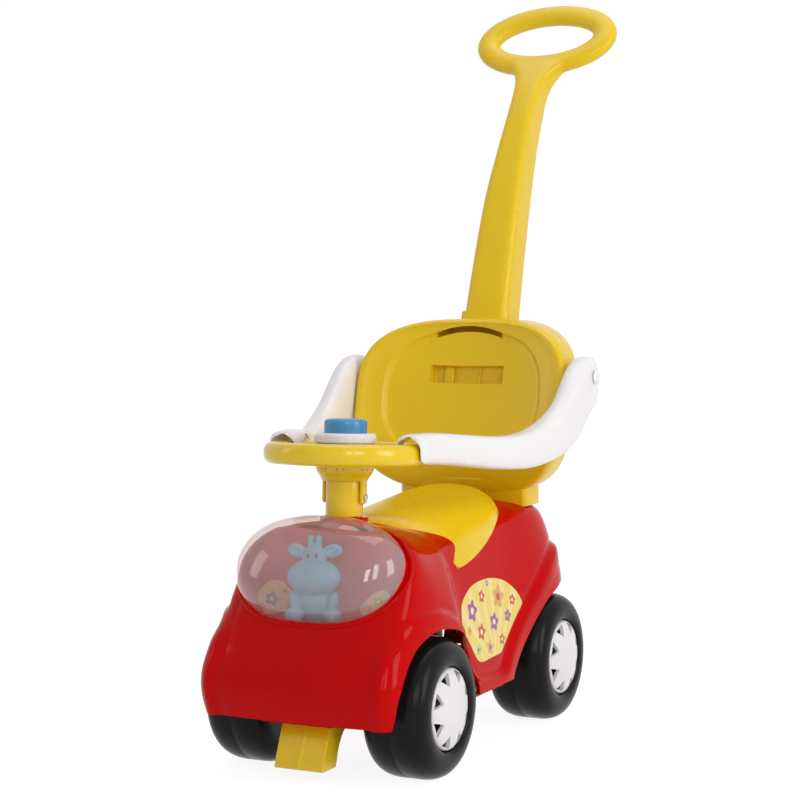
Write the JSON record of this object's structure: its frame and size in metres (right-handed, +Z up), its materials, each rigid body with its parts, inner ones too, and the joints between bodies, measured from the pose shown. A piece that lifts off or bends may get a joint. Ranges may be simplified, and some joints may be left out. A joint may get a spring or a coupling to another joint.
{
  "type": "ride-on car",
  "caption": "Child's four-wheel ride-on car with steering wheel and horn button, clear hood dome, saddle seat, backrest, lifting guard arms and a parent's push handle.",
  "frame": {"origin": "on the floor below the middle of the car's overall length and width", "axes": "-Y to the front of the car, +X to its left side, +Z up"},
  "size_m": [0.3406, 0.7355, 0.8868],
  "materials": {
    "red_plastic": "glossy moulded",
    "yellow_plastic": "satin moulded",
    "white_plastic": "glossy moulded",
    "blue_plastic": "satin moulded",
    "blue_vinyl": "soft matt vinyl",
    "black_plastic": "glossy blow-moulded",
    "clear_plastic": "clear, polished",
    "green_board": "circuit board",
    "bright_steel": "zinc plated"
  },
  "bodies": {
    "chassis": {"body_shell": "red_plastic", "underbody": "red_plastic", "anti_tip_foot": "yellow_plastic", "seat": "yellow_plastic", "backrest": "yellow_plastic", "push_handle": "yellow_plastic", "arm_pin_left": "white_plastic", "arm_pin_right": "white_plastic", "toy_animal": "blue_vinyl", "dome": "clear_plastic", "rear_axle": "bright_steel", "handle_screw": "bright_steel", "body_screw_left_front": "bright_steel", "body_screw_left_rear": "bright_steel", "body_screw_right_front": "bright_steel", "body_screw_right_rear": "bright_steel", "foot_screw_left": "bright_steel", "foot_screw_right": "bright_steel", "seat_screw_front": "bright_steel", "seat_screw_rear": "bright_steel", "backrest_screw_left": "bright_steel", "backrest_screw_right": "bright_steel", "rear_nut_left": "bright_steel", "rear_nut_right": "bright_steel"},
    "steering": {"steering_wheel": "yellow_plastic", "horn_base": "white_plastic", "horn_spring": "bright_steel", "sound_board": "green_board", "steering_tube": "yellow_plastic", "column_screw": "bright_steel", "steering_yoke": "black_plastic", "yoke_screw": "bright_steel", "front_axle": "bright_steel", "front_nut_left": "bright_steel", "front_nut_right": "bright_steel"},
    "button": {"horn_button": "blue_plastic"},
    "wheel_front_left": {"tyre_front_left": "black_plastic", "hub_cap_front_left": "white_plastic", "bush_front_left": "white_plastic"},
    "wheel_front_right": {"tyre_front_right": "black_plastic", "hub_cap_front_right": "white_plastic", "bush_front_right": "white_plastic"},
    "wheel_rear_left": {"tyre_rear_left": "black_plastic", "hub_cap_rear_left": "white_plastic", "bush_rear_left": "white_plastic"},
    "wheel_rear_right": {"tyre_rear_right": "black_plastic", "hub_cap_rear_right": "white_plastic", "bush_rear_right": "white_plastic"},
    "guard_left": {"arm_left": "white_plastic"},
    "guard_right": {"arm_right": "white_plastic"}
  },
  "joints": [
    {"name": "steering_turn", "type": "hinge", "parent": "chassis", "child": "steering", "pos_m": [0, -0.25475, 0.075], "axis": [0, 0.0593, 0.9982], "range_deg": [-8, 8]},
    {"name": "horn_press", "type": "slide", "parent": "steering", "child": "button", "axis": [0, 0.0593, 0.9982], "range_m": [-0.003, 0], "stiffness_N_per_m": 250, "springref_m": 0.002},
    {"name": "front_left_spin", "type": "hinge", "parent": "steering", "child": "wheel_front_left", "pos_m": [0.095, -0.25475, 0.075], "axis": [1, 0, 0], "continuous": true},
    {"name": "front_right_spin", "type": "hinge", "parent": "steering", "child": "wheel_front_right", "pos_m": [-0.095, -0.25475, 0.075], "axis": [1, 0, 0], "continuous": true},
    {"name": "rear_left_spin", "type": "hinge", "parent": "chassis", "child": "wheel_rear_left", "pos_m": [0.095, 0.05875, 0.075], "axis": [1, 0, 0], "continuous": true},
    {"name": "rear_right_spin", "type": "hinge", "parent": "chassis", "child": "wheel_rear_right", "pos_m": [-0.095, 0.05875, 0.075], "axis": [1, 0, 0], "continuous": true},
    {"name": "arm_left_lift", "type": "hinge", "parent": "chassis", "child": "guard_left", "pos_m": [0.158, 0.072, 0.408], "axis": [-1, 0, 0], "range_deg": [0, 75]},
    {"name": "arm_right_lift", "type": "hinge", "parent": "chassis", "child": "guard_right", "pos_m": [-0.158, 0.072, 0.408], "axis": [-1, 0, 0], "range_deg": [0, 75]}
  ]
}
